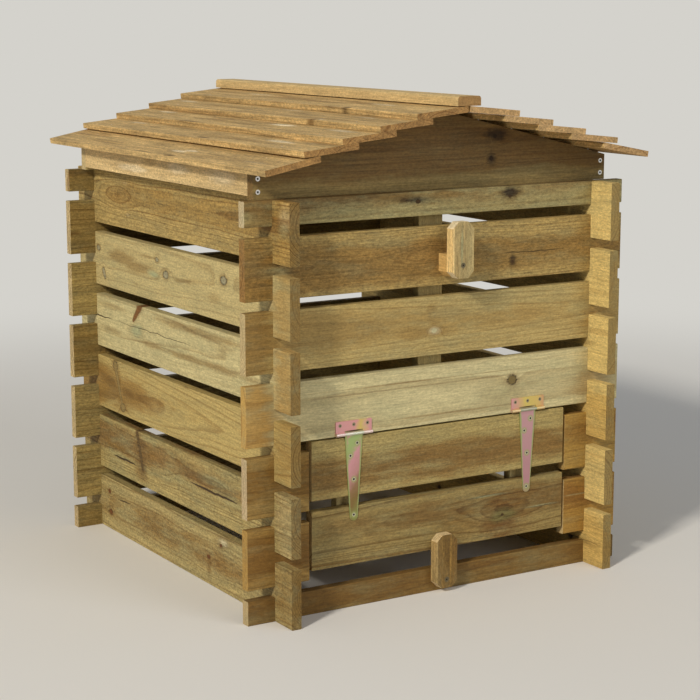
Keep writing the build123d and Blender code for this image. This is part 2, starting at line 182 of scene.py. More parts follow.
# Growth rings are shells round the heart of the log, so faces, edges and ends all cut the same rings.
pineTones = {
    "ringLine": "#a88a62", "knotRing": "#86683c", "bark": "#33271a", "crack": "#43331f", "halo": "#80602f",
    "swirl": "#8a632f", "cast": "#a0a57e",
}
# litEdge: painted light for an edge that faces the key light
stainTones = {
    "brown": "#80622f", "tan": "#b08a46", "russet": "#684720", "green": "#a3ad86", "sage": "#6d6b3f",
    "pale": "#d0c39c", "dark": "#312110", "scuff": "#ead9b2", "litEdge": "#f0cf8e",
}
# Sizes in mm. A pair is a size along the grain and a size across it.
# Fibres and the torn wood that the saw leaves are drawn far coarser than real ones so that they show.
pineGrain = dict(
    bend=400, wave=(220, 30), waveHeight=3.0, years=18, yearShift=7.0, lateFrom=0.45, lateTo=0.92,
    lineFaint=0.04, lineStrong=0.42, heartFray=14.0, heartOut=5.0, heartIn=-7.0, weather=(110, 30),
    broad=(110, 4), fine=(26, 1.8), fineLow=0.25, fineHigh=0.75, torn=(6, 3.2), darkest=0.77, lightest=1.23,
    streaks=0.5, speck=1.3, castFrom=0.45, castTo=0.7, castMost=0.5, roughLow=0.66, roughHigh=0.84)
# knots and swirls are measured from 0 in their middle to 1 at the bark line
knotLook = dict(
    spread=0.16, raggedLow=0.8, raggedHigh=1.2, frayLow=0.9, frayHigh=1.12, haloFrom=2.2, haloTo=0.95,
    whorls=13.0, whorlMost=0.3, insideFrom=1.08, insideTo=0.85, barkAt=0.97, barkFrom=0.3, barkTo=0.08,
    brokenFrom=0.35, brokenTo=0.6, brokenLeast=0.25)
swirlLook = dict(spread=1.0, height=-11.0, eyeFrom=1.3, eyeTo=0.3, eyeMost=0.16)
cutEnds = dict(leanFrom=0.45, leanTo=0.75, tint=0.75, rings=1.5, saw=0.65)   # faces across the grain
reliefHeight = dict(lateWood=0.1, fibres=0.2, torn=0.9, checks=-1.5, bark=-0.3)   # mm


def makePineGroup():
    grain = pineGrain
    tone = {name: hexColor(text) for name, text in pineTones.items()}
    tree, given, result = newGroup(
        "pineGrain",
        [("Point", "Vector"), ("Fray", "Float"), ("Pith", "Vector"), ("Seed", "Float"), ("Ring", "Float"),
         ("Lines", "Float"), ("Taper", "Float"), ("Wander", "Float"), ("Heart", "Float"), ("Knot", "Float"),
         ("Bulge", "Float"), ("KnotTone", "Color"), ("Rim", "Float"), ("Halo", "Float"), ("Swirl", "Float"),
         ("Stain", "Color"), ("Stained", "Float"), ("Cast", "Float"), ("Check", "Float"),
         ("Weather", "Float"), ("Saw", "Float"), ("EndFace", "Float"), ("EndTint", "Color"),
         ("Sap", "Color"), ("HeartTone", "Color")],
        [("Color", "Color"), ("Height", "Float"), ("Rough", "Float")])
    point, fray, endFace = given["Point"], given["Fray"], given["EndFace"]
    along = addNode(tree, "SeparateXYZ", {0: point})["X"]
    shift = addNode(tree, "CombineXYZ", {0: given["Seed"], 1: given["Seed"], 2: given["Seed"]})[0]

    # the log bends gently and tapers, which draws the rings out into long arches
    slow = addNode(tree, "Math", {0: along, 1: 1 / grain["bend"]}, operation="MULTIPLY")[0]
    slow = addNode(tree, "CombineXYZ", {0: slow, 1: given["Seed"]})[0]
    drift = addNode(tree, "TexNoise", {"Vector": slow, "Scale": 1, "Detail": 1})["Color"]
    drift = addNode(tree, "VectorMath", {0: drift, 1: (0.5, 0.5, 0.5)}, operation="SUBTRACT")[0]
    drift = addNode(tree, "VectorMath", {0: drift, "Scale": given["Wander"]}, operation="SCALE")[0]
    middle = addNode(tree, "VectorMath", {0: given["Pith"], 1: drift}, operation="ADD")[0]
    spoke = addNode(tree, "VectorMath", {0: point, 1: middle}, operation="SUBTRACT")[0]
    spoke = addNode(tree, "VectorMath", {0: spoke, 1: (0, 1, 1)}, operation="MULTIPLY")[0]
    radius = addNode(tree, "VectorMath", {0: spoke}, operation="LENGTH")["Value"]
    radius = addNode(tree, "Math", {0: along, 1: given["Taper"], 2: radius}, operation="MULTIPLY_ADD")[0]

    # rings wave by a few millimetres, more slowly along the board than across it
    wave = grainNoise(tree, point, shift, grain["wave"], detail=3)
    swell = addNode(tree, "MapRange", {0: wave, 3: -grain["waveHeight"], 4: grain["waveHeight"]})[0]
    radius = addNode(tree, "Math", {0: radius, 1: swell}, operation="ADD")[0]
    edge = addNode(tree, "MapRange", {0: fray, 3: -grain["heartFray"], 4: grain["heartFray"]})[0]
    edge = addNode(tree, "Math", {0: radius, 1: edge}, operation="ADD")[0]
    edge = addNode(tree, "Math", {0: edge, 1: given["Heart"]}, operation="SUBTRACT")[0]
    heart = addNode(tree, "MapRange", {0: edge, 1: grain["heartOut"], 2: grain["heartIn"]}, **smooth)[0]

    # and they run round a knot, or close into an eye over a buried branch
    ragged = addNode(tree, "MapRange", {0: fray, 1: noiseLow, 2: noiseHigh, 3: knotLook["raggedLow"],
                                        4: knotLook["raggedHigh"]})[0]
    knot = addNode(tree, "Math", {0: given["Knot"], 1: ragged}, operation="MULTIPLY")[0]
    swirl = addNode(tree, "Math", {0: given["Swirl"], 1: ragged}, operation="MULTIPLY")[0]
    for near, spread, height in ((knot, knotLook["spread"], given["Bulge"]),
                                 (swirl, swirlLook["spread"], swirlLook["height"])):
        hill = addNode(tree, "Math", {0: near, 1: 2.0}, operation="POWER")[0]
        hill = addNode(tree, "Math", {0: hill, 1: -spread}, operation="MULTIPLY")[0]
        hill = addNode(tree, "Math", {0: hill}, operation="EXPONENT")[0]
        radius = addNode(tree, "Math", {0: hill, 1: height, 2: radius}, operation="MULTIPLY_ADD")[0]

    # wide and narrow years
    years = addNode(tree, "Math", {0: radius, 1: 1 / grain["years"], 2: given["Seed"]},
                    operation="MULTIPLY_ADD")[0]
    years = addNode(tree, "TexNoise", {"W": years, "Scale": 1, "Detail": 1}, noise_dimensions="1D")[0]
    years = addNode(tree, "MapRange", {0: years, 3: -grain["yearShift"], 4: grain["yearShift"]})[0]
    phase = addNode(tree, "Math", {0: radius, 1: years}, operation="ADD")[0]
    phase = addNode(tree, "Math", {0: phase, 1: given["Ring"]}, operation="DIVIDE")[0]
    year = addNode(tree, "Math", {0: phase}, operation="FLOOR")[0]
    part = addNode(tree, "Math", {0: phase}, operation="FRACT")[0]
    late = addNode(tree, "MapRange", {0: part, 1: grain["lateFrom"], 2: grain["lateTo"]}, **smooth)[0]
    ended = addNode(tree, "MapRange", {0: part, 1: 1.0, 2: grain["lateTo"]})[0]
    late = addNode(tree, "Math", {0: late, 1: ended}, operation="MULTIPLY")[0]
    strength = addNode(tree, "TexWhiteNoise", {"W": year}, noise_dimensions="1D")["Value"]
    strength = addNode(tree, "MapRange", {0: strength, 3: grain["lineFaint"], 4: grain["lineStrong"]})[0]
    line = addNode(tree, "Math", {0: late, 1: strength}, operation="MULTIPLY")[0]
    line = addNode(tree, "Math", {0: line, 1: given["Lines"]}, operation="MULTIPLY")[0]

    broad = grainNoise(tree, point, shift, grain["broad"], detail=2)
    fine = grainNoise(tree, point, shift, grain["fine"], detail=3, roughness=0.6)
    torn = grainNoise(tree, point, shift, grain["torn"], detail=4, roughness=0.78)

    # torn fibres also fray the outline of a knot
    frayed = addNode(tree, "MapRange", {0: torn, 1: noiseLow, 2: noiseHigh, 3: knotLook["frayLow"],
                                        4: knotLook["frayHigh"]})[0]
    knot = addNode(tree, "Math", {0: knot, 1: frayed}, operation="MULTIPLY")[0]

    wood = addNode(tree, "Mix", {0: heart, 6: given["Sap"], 7: given["HeartTone"]}, data_type="RGBA")[2]
    wood = addNode(tree, "Mix", {0: given["Stained"], 6: wood, 7: given["Stain"]}, data_type="RGBA")[2]
    eye = addNode(tree, "MapRange", {0: swirl, 1: swirlLook["eyeFrom"], 2: swirlLook["eyeTo"], 3: 0.0,
                                     4: swirlLook["eyeMost"]}, **smooth)[0]
    wood = addNode(tree, "Mix", {0: eye, 6: wood, 7: tone["swirl"]}, data_type="RGBA")[2]
    halo = addNode(tree, "MapRange", {0: knot, 1: knotLook["haloFrom"], 2: knotLook["haloTo"]}, **smooth)[0]
    halo = addNode(tree, "Math", {0: halo, 1: given["Halo"]}, operation="MULTIPLY")[0]
    wood = addNode(tree, "Mix", {0: halo, 6: wood, 7: tone["halo"]}, data_type="RGBA")[2]
    # cut ends drink more preservative, take their own tone and show the rings more
    cutEnd = addNode(tree, "Math", {0: endFace, 1: cutEnds["tint"]}, operation="MULTIPLY")[0]
    wood = addNode(tree, "Mix", {0: cutEnd, 6: wood, 7: given["EndTint"]}, data_type="RGBA")[2]
    clear = addNode(tree, "MapRange", {0: endFace, 3: 1.0, 4: cutEnds["rings"]})[0]
    line = addNode(tree, "Math", {0: line, 1: clear}, operation="MULTIPLY")[0]
    wood = addNode(tree, "Mix", {0: line, 6: wood, 7: tone["ringLine"]}, data_type="RGBA",
                   blend_type="MULTIPLY")[2]

    # faint green cast of the preservative
    cast = addNode(tree, "MapRange", {0: fray, 1: grain["castFrom"], 2: grain["castTo"], 3: 0.0,
                                      4: grain["castMost"]}, **smooth)[0]
    cast = addNode(tree, "Math", {0: cast, 1: given["Cast"]}, operation="MULTIPLY")[0]
    wood = addNode(tree, "Mix", {0: cast, 6: wood, 7: tone["cast"]}, data_type="RGBA")[2]

    # the knot itself: the branch's own rings inside a broken bark line
    whorl = addNode(tree, "Math", {0: knot, 1: knotLook["whorls"]}, operation="MULTIPLY")[0]
    whorl = addNode(tree, "Math", {0: whorl}, operation="SINE")[0]
    whorl = addNode(tree, "MapRange", {0: whorl, 1: -1.0, 2: 1.0, 3: 0.0, 4: knotLook["whorlMost"]})[0]
    whorl = addNode(tree, "Math", {0: whorl, 1: given["Rim"]}, operation="MULTIPLY")[0]
    core = addNode(tree, "Mix", {0: whorl, 6: given["KnotTone"], 7: tone["knotRing"]}, data_type="RGBA")[2]
    inside = addNode(tree, "MapRange", {0: knot, 1: knotLook["insideFrom"], 2: knotLook["insideTo"]})[0]
    wood = addNode(tree, "Mix", {0: inside, 6: wood, 7: core}, data_type="RGBA")[2]
    bark = addNode(tree, "Math", {0: knot, 1: knotLook["barkAt"]}, operation="SUBTRACT")[0]
    bark = addNode(tree, "Math", {0: bark}, operation="ABSOLUTE")[0]
    bark = addNode(tree, "MapRange", {0: bark, 1: knotLook["barkFrom"], 2: knotLook["barkTo"]})[0]
    broken = addNode(tree, "MapRange", {0: torn, 1: knotLook["brokenFrom"], 2: knotLook["brokenTo"], 3: 1.0,
                                        4: knotLook["brokenLeast"]})[0]
    bark = addNode(tree, "Math", {0: bark, 1: broken}, operation="MULTIPLY")[0]
    bark = addNode(tree, "Math", {0: bark, 1: given["Rim"]}, operation="MULTIPLY")[0]
    wood = addNode(tree, "Mix", {0: bark, 6: wood, 7: tone["bark"]}, data_type="RGBA")[2]

    # lighter and darker: streaks, weather, fibres and torn wood, which the saw leaves less of on ends
    level = addNode(tree, "Math", {0: broad, 1: fray}, operation="SUBTRACT")[0]
    level = addNode(tree, "Math", {0: level, 1: given["Weather"]}, operation="MULTIPLY")[0]
    level = addNode(tree, "Math", {0: level, 1: grain["streaks"], 2: 1.0}, operation="MULTIPLY_ADD")[0]
    hair = addNode(tree, "MapRange", {0: fine, 1: grain["fineLow"], 2: grain["fineHigh"],
                                      3: grain["darkest"], 4: grain["lightest"]})[0]
    level = addNode(tree, "Math", {0: level, 1: hair}, operation="MULTIPLY")[0]
    fuzz = addNode(tree, "Math", {0: torn, 1: 0.5}, operation="SUBTRACT")[0]
    fuzz = addNode(tree, "Math", {0: fuzz, 1: given["Saw"]}, operation="MULTIPLY")[0]
    calm = addNode(tree, "MapRange", {0: endFace, 3: 1.0, 4: cutEnds["saw"]})[0]
    fuzz = addNode(tree, "Math", {0: fuzz, 1: calm}, operation="MULTIPLY")[0]
    speck = addNode(tree, "Math", {0: fuzz, 1: grain["speck"], 2: 1.0}, operation="MULTIPLY_ADD")[0]
    level = addNode(tree, "Math", {0: level, 1: speck}, operation="MULTIPLY")[0]
    wood = addNode(tree, "VectorMath", {0: wood, "Scale": level}, operation="SCALE")[0]
    wood = addNode(tree, "Mix", {0: given["Check"], 6: wood, 7: tone["crack"]}, data_type="RGBA")[2]

    # late wood stands up, fibres and torn wood roughen the face, checks and bark sink
    relief = addNode(tree, "Math", {0: line, 1: reliefHeight["lateWood"]}, operation="MULTIPLY")[0]
    for source, height in ((fine, "fibres"), (fuzz, "torn"), (given["Check"], "checks"), (bark, "bark")):
        relief = addNode(tree, "Math", {0: source, 1: reliefHeight[height], 2: relief},
                         operation="MULTIPLY_ADD")[0]
    rough = addNode(tree, "MapRange", {0: fine, 1: grain["fineLow"], 2: grain["fineHigh"],
                                       3: grain["roughLow"], 4: grain["roughHigh"]})[0]
    tree.links.new(wood, result["Color"])
    tree.links.new(relief, result["Height"])
    tree.links.new(rough, result["Rough"])
    return tree


knotGroup = makeKnotGroup()
spikeGroup = makeSpikeGroup()
checkGroup = makeCheckGroup()
stainGroup = makeStainGroup()
pineGroup = makePineGroup()
print("pine grain ready")

# What each board shows, seen from outside: along runs right from its middle, across runs up, all in mm.
# On an upright piece along runs up and across runs left.
# depth: the heart of the log behind the board's middle. band: middle and half width of the brown heartwood.
# knots and swirls: along, across, radius. spikes: along, across, half width at both ends.
# checks: from, to, across, width. stains: kind, along, across, half length, half width, strength.
# ring: from year to year. taper and wander: how the log narrows and bends. bulge: how far a knot pushes
# the rings. lines, rim, halo, cast, weather and saw: how strongly the rings, a knot's bark, the tint round
# it, the green cast, the weathering and the saw's torn fibres show.
plainBoard = dict(depth=60, band=None, ring=4.2, lines=1.0, taper=0.012, wander=14, knots=[], knotLong=1.5,
                  bulge=1.2, knotTone="#6d5230", rim=0.75, halo=0.5, spikes=[], swirls=[], swirlLong=2.5,
                  checks=[], stains=[], cast=0.3, weather=1.0, saw=1.0, sap="#bba872",
                  heartTone="#8d7040", endTint="#cbb486")
boardLooks = {
    "left_board_1": dict(
        depth=40, band=(12, 17), taper=-0.0105, ring=3.4, wander=5, lines=1.8, heartTone="#9c7f46",
        sap="#ad945a", cast=0.2, weather=1.5, saw=1.9, swirls=[(-232, 10, 24)],
        checks=[(-76, -38, 9, 1.2)],
        stains=[("brown", -190, 16, 90, 22, 0.4), ("brown", -50, 10, 130, 15, 0.25),
                ("pale", -185, -24, 12, 5, 0.5), ("pale", -196, 33, 14, 4, 0.4),
                ("tan", 392, 0, 48, 150, 0.6), ("pale", 394, 24, 26, 22, 0.5),
                ("green", 388, 4, 22, 14, 0.5)]),
    "left_board_2": dict(
        depth=70, ring=5.2, lines=0.8, knotTone="#a09b7c", knotLong=1.5, sap="#beac77", rim=1.0, saw=1.2,
        knots=[(-68, 26, 4), (-33, 3, 7), (185, 20, 7), (-320, 20, 5)],
        spikes=[((-300, -20, 5), (-293, -32, 3.5))],
        stains=[("brown", -225, 12, 60, 15, 0.6), ("brown", -140, 1, 75, 11, 0.6),
                ("brown", 34, 1, 60, 6, 0.6), ("green", -80, -2, 30, 9, 0.8),
                ("brown", -158, -29, 14, 4, 0.4), ("brown", 150, -14, 26, 10, 0.35),
                ("brown", -100, 27, 40, 3, 0.4), ("tan", 392, 0, 48, 150, 0.6)]),
    "left_board_3": dict(
        depth=75, ring=4.4, lines=1.1, saw=1.2, sap="#c4b684", knotTone="#775028", rim=0.3, knotLong=1.3,
        spikes=[((-143, 50, 9), (-172, 20, 3))], checks=[(-470, -262, 9, 3.0), (-235, 70, 9, 1.6)],
        stains=[("brown", 80, 37, 210, 9, 0.6), ("brown", 60, -14, 270, 8, 0.65),
                ("green", -158, 2, 34, 16, 0.75), ("brown", -260, -12, 60, 6, 0.5),
                ("brown", -270, 34, 60, 8, 0.4), ("tan", 392, 6, 48, 150, 0.75)]),
    "left_board_4": dict(
        depth=48, band=(-5, 9), taper=0.045, ring=4.6, lines=1.25, wander=20, heartTone="#96773f",
        sap="#b9a265", knots=[(-256, 40, 7), (-226, -34, 7)], spikes=[((-255, 36, 5), (-229, -30, 3))],
        knotTone="#8f7a4a", rim=0.7, swirls=[(-80, -6, 20)], cast=0.2, saw=1.2,
        stains=[("brown", -285, 2, 44, 13, 0.6), ("brown", -180, -6, 50, 13, 0.55),
                ("brown", -241, 2, 9, 36, 0.75), ("green", -258, 42, 12, 7, 0.4),
                ("tan", 392, 0, 48, 150, 0.6)]),
    "left_board_5": dict(
        depth=52, band=(16, 14), taper=0.01, ring=4.4, wander=18, sap="#a8955f", heartTone="#856a3d",
        cast=0.5, weather=1.8, rim=0.4, swirls=[(-85, 3, 22)], lines=1.6, saw=1.8, knotTone="#5e4a2a",
        spikes=[((-166, 46, 6), (-144, -18, 5))], checks=[(-272, -172, -16, 4.4), (50, 226, 1, 4.6)],
        stains=[("brown", -260, 2, 85, 11, 0.75), ("russet", -150, 8, 34, 60, 0.65),
                ("dark", -156, 30, 20, 20, 0.45), ("dark", -140, -16, 18, 14, 0.7),
                ("brown", -110, 16, 26, 30, 0.5), ("green", 150, 21, 80, 12, 0.6),
                ("green", -225, -13, 45, 3, 0.5), ("brown", 20, 30, 60, 8, 0.4),
                ("pale", 392, 0, 48, 150, 0.4)]),
    "left_board_6": dict(
        depth=46, band=(2, 10), taper=0.004, ring=4.2, wander=18, sap="#a99662", heartTone="#866a39",
        cast=0.35, weather=1.3, knots=[(163, 31, 3), (117, 0, 4), (-296, 24, 4), (-291, -15, 5)],
        knotTone="#6a3f1f", rim=0.5, lines=1.3, saw=1.8, checks=[(-256, -200, 19, 2.6)],
        swirls=[(122, -6, 22)],
        stains=[("brown", -100, 4, 140, 10, 0.55), ("dark", 174, 37, 34, 13, 0.5),
                ("pale", 174, 38, 24, 9, 0.9), ("russet", 118, -18, 10, 28, 0.55),
                ("brown", 392, 10, 48, 120, 0.5)]),
    "right_board_1": dict(
        depth=64, ring=4.4, lines=0.7, sap="#dac07b", saw=1.3, knots=[(-130, 22, 6), (190, -16, 5)],
        knotTone="#86704a",
        stains=[("brown", -120, 20, 60, 9, 0.5), ("brown", 200, -16, 60, 8, 0.4)]),
    # front_board_1: its darker tones and the brown band along its top edge are partly painted shade from the
    # gable and roof above it
    "front_board_1": dict(
        depth=62, band=(26, 20), ring=4, knots=[(-53, 4, 4), (134, 3, 2.5)], saw=1.5, knotTone="#3c2b15",
        knotLong=1.4, rim=0.1, bulge=0.4, halo=0, sap="#9b8d5d", heartTone="#7c653c", cast=0.5,
        weather=0.8, endTint="#d3c19a",
        stains=[("brown", -40, 14, 90, 8, 0.5), ("dark", -55, 6, 46, 10, 1.0),
                # the brown stain at along -364 darkens the left stub: partly the board's own tone, partly
                # painted shade from the side boards' stubs
                ("dark", 133, 11, 30, 17, 1.0), ("brown", -364, 0, 44, 150, 0.5)]),
    "front_board_2": dict(
        depth=34, band=(-4, 32), ring=4.2, wander=12, heartTone="#8f713c", sap="#a88f56",
        knotTone="#3f2b14", rim=0.1, knots=[(142, -21, 3)], knotLong=0.8, halo=0, swirls=[(-22, 6, 26)],
        checks=[(118, 252, -6, 2.0)], weather=1.6, saw=1.7, lines=1.3, endTint="#96703c",
        stains=[("brown", -60, -26, 24, 12, 0.6), ("brown", 220, 8, 110, 12, 0.5),
                ("dark", 142, -18, 10, 16, 0.9), ("green", -326, -4, 44, 12, 0.6),
                # the brown stain at along -364 darkens the left stub: partly the board's own tone, partly
                # painted shade from the side boards' stubs
                ("brown", -364, -10, 44, 110, 0.6), ("tan", 330, -5, 60, 50, 0.4)]),
    "front_board_3": dict(
        depth=46, band=(6, 20), taper=0.02, ring=4.4, wander=16, heartTone="#a38850", sap="#b49d63",
        cast=0.35, knots=[(-19, -8, 4)], bulge=2.7, knotLong=1.3, saw=1.1, knotTone="#b8b088", rim=0.05,
        halo=0, endTint="#cdb88a",
        stains=[("brown", -22, 24, 14, 18, 0.5), ("brown", -60, -8, 26, 16, 0.3),
                ("green", 10, 20, 50, 12, 0.4), ("brown", -19, -8, 24, 15, 0.5),
                # the brown stain at along -364 darkens the left stub: partly the board's own tone, partly
                # painted shade from the side boards' stubs
                ("pale", -19, -8, 14, 9, 0.7), ("brown", -364, 0, 44, 150, 0.7),
                ("tan", 330, -5, 60, 50, 0.4)]),
    "front_board_4": dict(
        depth=120, ring=6.5, lines=0.9, wander=8, taper=0.006, sap="#c8bb8b", knotTone="#76673e",
        knotLong=1.1, rim=1.0, halo=0.3, bulge=0.4, weather=0.6, saw=0.8, knots=[(145, 8, 8)], cast=0.4,
        endTint="#bf9a55",
        stains=[("brown", 185, -2, 40, 7, 0.3), ("brown", 95, -14, 30, 6, 0.25),
                ("green", 130, -12, 60, 20, 0.35), ("dark", -70, 18, 330, 1.6, 0.4),
                ("brown", 0, 27, 350, 1.3, 0.5), ("brown", 60, -34, 320, 2, 0.5),
                ("tan", -364, 0, 46, 150, 0.9), ("tan", 318, -8, 56, 44, 0.5),
                # the two dark strips at along ±178 are painted shade in the slots above the hinges' knuckles
                ("dark", -178, -42.5, 19, 2.4, 1.0), ("dark", 178, -42.5, 19, 2.4, 1.0)]),
    "front_board_5_left": dict(band=(6, 30), sap="#96773e", heartTone="#7e5e2a", endTint="#cfba94"),
    "front_board_6_left": dict(band=(4, 34), sap="#98783e", heartTone="#7d5b28", endTint="#b6924e"),
    "front_board_5_right": dict(band=(16, 24), sap="#a98641", heartTone="#82602c", endTint="#b2935a"),
    "front_board_6_right": dict(
        band=(22, 22), sap="#a27d3a", heartTone="#855f2a", endTint="#d0b884",
        stains=[("green", 0, 20, 60, 2, 0.5)]),
    "front_board_7": dict(depth=44, band=(4, 16), ring=3.8, heartTone="#735527", sap="#7f6433", saw=0.9),
    "front_tie_batten": dict(depth=70, lines=0.6, sap="#a18e5c"),
    "hatch_board_1": dict(
        depth=52, band=(-9, 27), ring=3.6, lines=0.8, taper=0.003, wander=6, heartTone="#846737",
        sap="#a8945c", saw=1.4),
    "hatch_board_2": dict(
        depth=40, band=(13, 16), ring=4.4, wander=10, taper=-0.012, heartTone="#795e32", sap="#937e4b",
        swirls=[(128, -9, 28)], knots=[(128, -9, 2)], knotTone="#463319", rim=0.1, halo=0.2, knotLong=1.6,
        lines=2.0, saw=1.2, checks=[(36, 138, 29, 0.6), (165, 258, -5, 0.6)],
        stains=[("brown", 40, -14, 60, 26, 0.5), ("russet", 126, -14, 58, 46, 0.95),
                ("sage", 127, -9, 38, 15, 0.95), ("green", 88, 29, 55, 3, 0.7),
                ("green", 210, -4, 50, 2.5, 0.7)]),
    # gable_front: its sap, heart and end tint are darkened as painted shade from the roof that overhangs it;
    # the dark stains are its knots
    "gable_front": dict(
        depth=60, band=(18, 60), ring=4.2, wander=8, taper=0.002, heartTone="#705730", sap="#8c7849",
        knots=[(114, 18, 4), (107, -19, 4)], knotTone="#2c1e0c", rim=0.05, halo=0, knotLong=1.0,
        cast=0.15, weather=1.6, endTint="#7a5f34",
        stains=[("dark", 116, 20, 34, 17, 0.95), ("dark", 107, -19, 16, 20, 0.95)]),
    "lid_rail_left": dict(
        depth=90, lines=0.6, cast=0, weather=1.4, saw=1.5, sap="#d2b681",
        stains=[("scuff", 60, 6, 60, 14, 0.7), ("scuff", -120, -8, 70, 9, 0.75),
                ("scuff", 230, 2, 80, 18, 0.7), ("brown", -40, 8, 34, 10, 0.4)]),
    "roof_board_left_1": dict(
        depth=80,
        stains=[("brown", 180, 16, 160, 14, 0.4), ("brown", -230, -22, 120, 12, 0.4),
                ("dark", 80, -44, 22, 5, 0.8), ("dark", -20, -44, 34, 3, 0.5),
                ("scuff", 96, -8, 30, 5, 0.9), ("scuff", 60, -18, 34, 6, 0.9),
                ("scuff", 330, -20, 60, 8, 0.5)]),
    "roof_board_left_2": dict(
        depth=60,
        stains=[("brown", 120, -20, 160, 12, 0.45), ("brown", -90, 8, 90, 11, 0.4),
                ("dark", 59, -40, 24, 5, 0.85), ("scuff", -300, 8, 40, 8, 0.8),
                ("scuff", 260, -2, 54, 10, 0.85), ("scuff", 350, 8, 30, 10, 0.6)]),
    "roof_board_left_3": dict(
        depth=70,
        stains=[("brown", 20, -18, 150, 11, 0.45), ("brown", 340, 12, 60, 10, 0.4),
                ("dark", -112, -47, 60, 3.5, 0.8), ("scuff", -305, 6, 50, 10, 0.85),
                ("scuff", 140, 2, 54, 10, 1.0), ("scuff", 330, 4, 60, 12, 0.8)]),
    "roof_board_left_4": dict(
        depth=50,
        stains=[("brown", -150, -10, 120, 12, 0.45), ("brown", 270, 4, 90, 12, 0.4),
                ("russet", 206, -46, 16, 10, 0.75), ("scuff", 222, -40, 14, 10, 0.8),
                ("scuff", -350, 2, 50, 9, 0.8), ("scuff", 30, 10, 70, 8, 0.6),
                ("scuff", 290, 6, 60, 8, 0.7)]),
    "roof_board_left_5": dict(
        depth=60,
        stains=[("brown", 0, -16, 140, 12, 0.4), ("brown", -330, 6, 60, 11, 0.4),
                ("dark", 200, -46, 14, 8, 0.8), ("scuff", 240, 4, 60, 9, 0.7),
                ("scuff", -200, 4, 60, 8, 0.6)]),
    "ridge_cap": dict(
        depth=60, lines=0.6, weather=1.4, saw=1.1, sap="#d2b57e",
        stains=[("pale", 150, 6, 90, 6, 0.4), ("brown", -120, -8, 120, 5, 0.3)]),
    # latch_button: the pale end tint and the litEdge strip along its left edge are painted light on the
    # chamfer and edge that face the key light, over the wood's paler cut ends
    "latch_button": dict(
        depth=30, band=(-2, 12), ring=4.6, lines=0.8, saw=1.6, taper=0, wander=3, heartTone="#755a2b",
        sap="#84693a", endTint="#f4dba8",
        stains=[("litEdge", 0, 21.5, 160, 4.5, 0.6), ("russet", 0, -16, 160, 6, 0.5),
                ("tan", 10, -8, 60, 1.6, 0.8)]),
    # catch_button: the pale end tint and the litEdge strip along its left edge are painted light on the
    # chamfer and edge that face the key light, over the wood's paler cut ends
    "catch_button": dict(
        depth=80, ring=5, lines=0.6, saw=1.4, taper=0, wander=3, sap="#bda772", cast=0.2,
        endTint="#fff0cc",
        stains=[("green", 4, 3, 70, 3.5, 0.7), ("green", 0, -10, 70, 9, 0.4),
                ("brown", -30, 12, 30, 4, 0.3), ("litEdge", 0, 21.5, 160, 4.5, 0.95),
                # the dark spot at along -31 is painted shade in the pivot screw's hole
                ("dark", -31, 0.5, 3, 2, 0.7)]),
    "catch_spacer": dict(depth=40, sap="#d2ab68"),
}
uprightPieces = ("front_tie_batten", "hatch_batten_left", "hatch_batten_right", "latch_button",
                 "catch_button")
# the roof and the rails are left rough from the saw, and their ends are stained red brown
sawnBoards = dict(sap="#c8a971", heartTone="#ad8a54", cast=0, weather=2.6, saw=1.7, lines=1.2,
                  endTint="#8a5f2c")
sideBoards = dict(endTint="#735a2b")   # their ends have drunk the most preservative
# boards whose faces the photograph doesn't show, by the start of their names
hiddenBoards = {
    "right": dict(sap="#d4ba76", heartTone="#c5a55f", saw=1.3),
    "back": dict(sap="#a08b54", heartTone="#8a733f", lines=1.7, saw=1.7, weather=1.8),
    "roof_board_right": dict(endTint="#b89566"),
}
timberSurface = dict(bump=0.8, specular=0.28)   # dry open wood has little sheen
flatFace = 0.999   # a face that points this much straight up lies flat
bodyMiddle = (Vector(cadBox[0]) + Vector(cadBox[1])) / 2


def grainAxes(name):
    # the board's middle and the turn that lays X along its grain, with Z out of its face
    low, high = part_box(name)
    middle = (low + high) / 2
    face = max(nodes[name].data.polygons, key=lambda f: f.area).normal.copy()
    outward = middle - bodyMiddle
    if name.startswith(("roof", "ridge")):
        outward = up
    if face.dot(outward) < 0:
        face.negate()
    if name in uprightPieces:
        along = up
    elif abs(face.z) > flatFace:
        along = Vector((0, -1, 0))
    else:
        along = up.cross(face).normalized()
    across = face.cross(along)
    return middle, Matrix((along, across, face)).transposed(), high - low


def chanceLook(name, length, width):
    # a board's own heart, rings, knots and checks, drawn the same each run
    draw = random.Random("pine " + name)
    look = dict(depth=draw.uniform(45, 90), ring=draw.uniform(3.8, 5.2), wander=draw.uniform(6, 14),
                taper=draw.choice((-1, 1)) * draw.uniform(0.002, 0.012),
                knotTone=draw.choice(("#6d5230", "#86704a", "#4f3a20")), rim=draw.uniform(0.2, 0.7),
                lines=draw.uniform(0.5, 1.0))
    for group, tones in hiddenBoards.items():
        if name.startswith(group):
            look.update(tones)
    if draw.random() < 0.5:
        look["band"] = (draw.uniform(-0.2, 0.2) * width, draw.uniform(0.12, 0.34) * width)
    knots = round(length / 400 * draw.uniform(0.3, 1.5))
    look["knots"] = [(draw.uniform(-0.4, 0.4) * length, draw.uniform(-0.42, 0.42) * width,
                      draw.uniform(3, 8)) for _ in range(knots)]
    look["stains"] = [("brown", k[0] + draw.uniform(-40, 40), k[1], 60, k[2] + 3, draw.uniform(0.25, 0.6))
                      for k in look["knots"]]
    if draw.random() < 0.45:
        start = draw.choice((-0.5, 0.2)) * length
        look["checks"] = [(start, start + draw.uniform(0.12, 0.3) * length, draw.uniform(-0.3, 0.3) * width,
                           draw.uniform(0.7, 1.4))]
    return look


